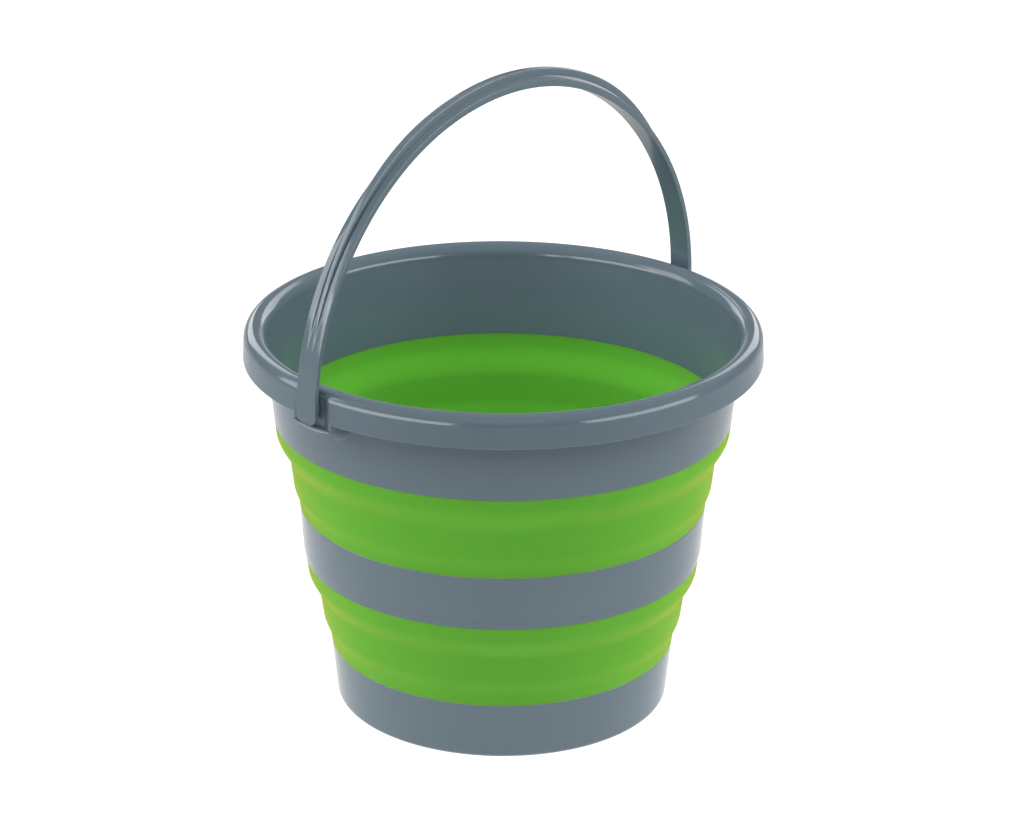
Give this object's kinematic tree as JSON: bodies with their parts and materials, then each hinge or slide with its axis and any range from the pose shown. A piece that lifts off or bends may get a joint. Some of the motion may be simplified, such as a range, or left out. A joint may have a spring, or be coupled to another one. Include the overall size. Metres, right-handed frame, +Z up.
{
  "type": "collapsible bucket",
  "caption": "Round collapsible camp bucket: rigid grey bands joined by soft green folds, with a rolled rim and a swinging carry bail.",
  "frame": {"origin": "centre of the ground under the base", "axes": "+Z up along the bucket's axis, X along the bail's pivot axis, and the bail's top leans a little towards -Y at rest"},
  "size_m": [0.3212, 0.3128, 0.3959],
  "materials": {
    "base_plastic": "satin grey polypropylene",
    "lower_elastomer": "satin green elastomer",
    "ring_plastic": "satin grey polypropylene",
    "upper_elastomer": "satin green elastomer",
    "rim_plastic": "satin grey polypropylene",
    "bail_plastic": "satin grey polypropylene"
  },
  "bodies": {
    "base": {"base_cup": "base_plastic", "lower_membrane": "lower_elastomer"},
    "ring": {"middle_ring": "ring_plastic", "upper_membrane": "upper_elastomer"},
    "rim": {"rim_frame": "rim_plastic"},
    "bail": {"bail_handle": "bail_plastic"}
  },
  "joints": [
    {"name": "lower_fold_slide", "type": "slide", "parent": "base", "child": "ring", "axis": [0, 0, -1], "range_m": [0, 0.089], "deforming": ["lower_membrane"]},
    {"name": "upper_fold_slide", "type": "slide", "parent": "ring", "child": "rim", "axis": [0, 0, -1], "range_m": [0, 0.089], "deforming": ["upper_membrane"]},
    {"name": "bail_swing", "type": "hinge", "parent": "rim", "child": "bail", "pos_m": [0, 0, 0.228], "axis": [1, 0, 0], "range_deg": [-98, 95]}
  ]
}
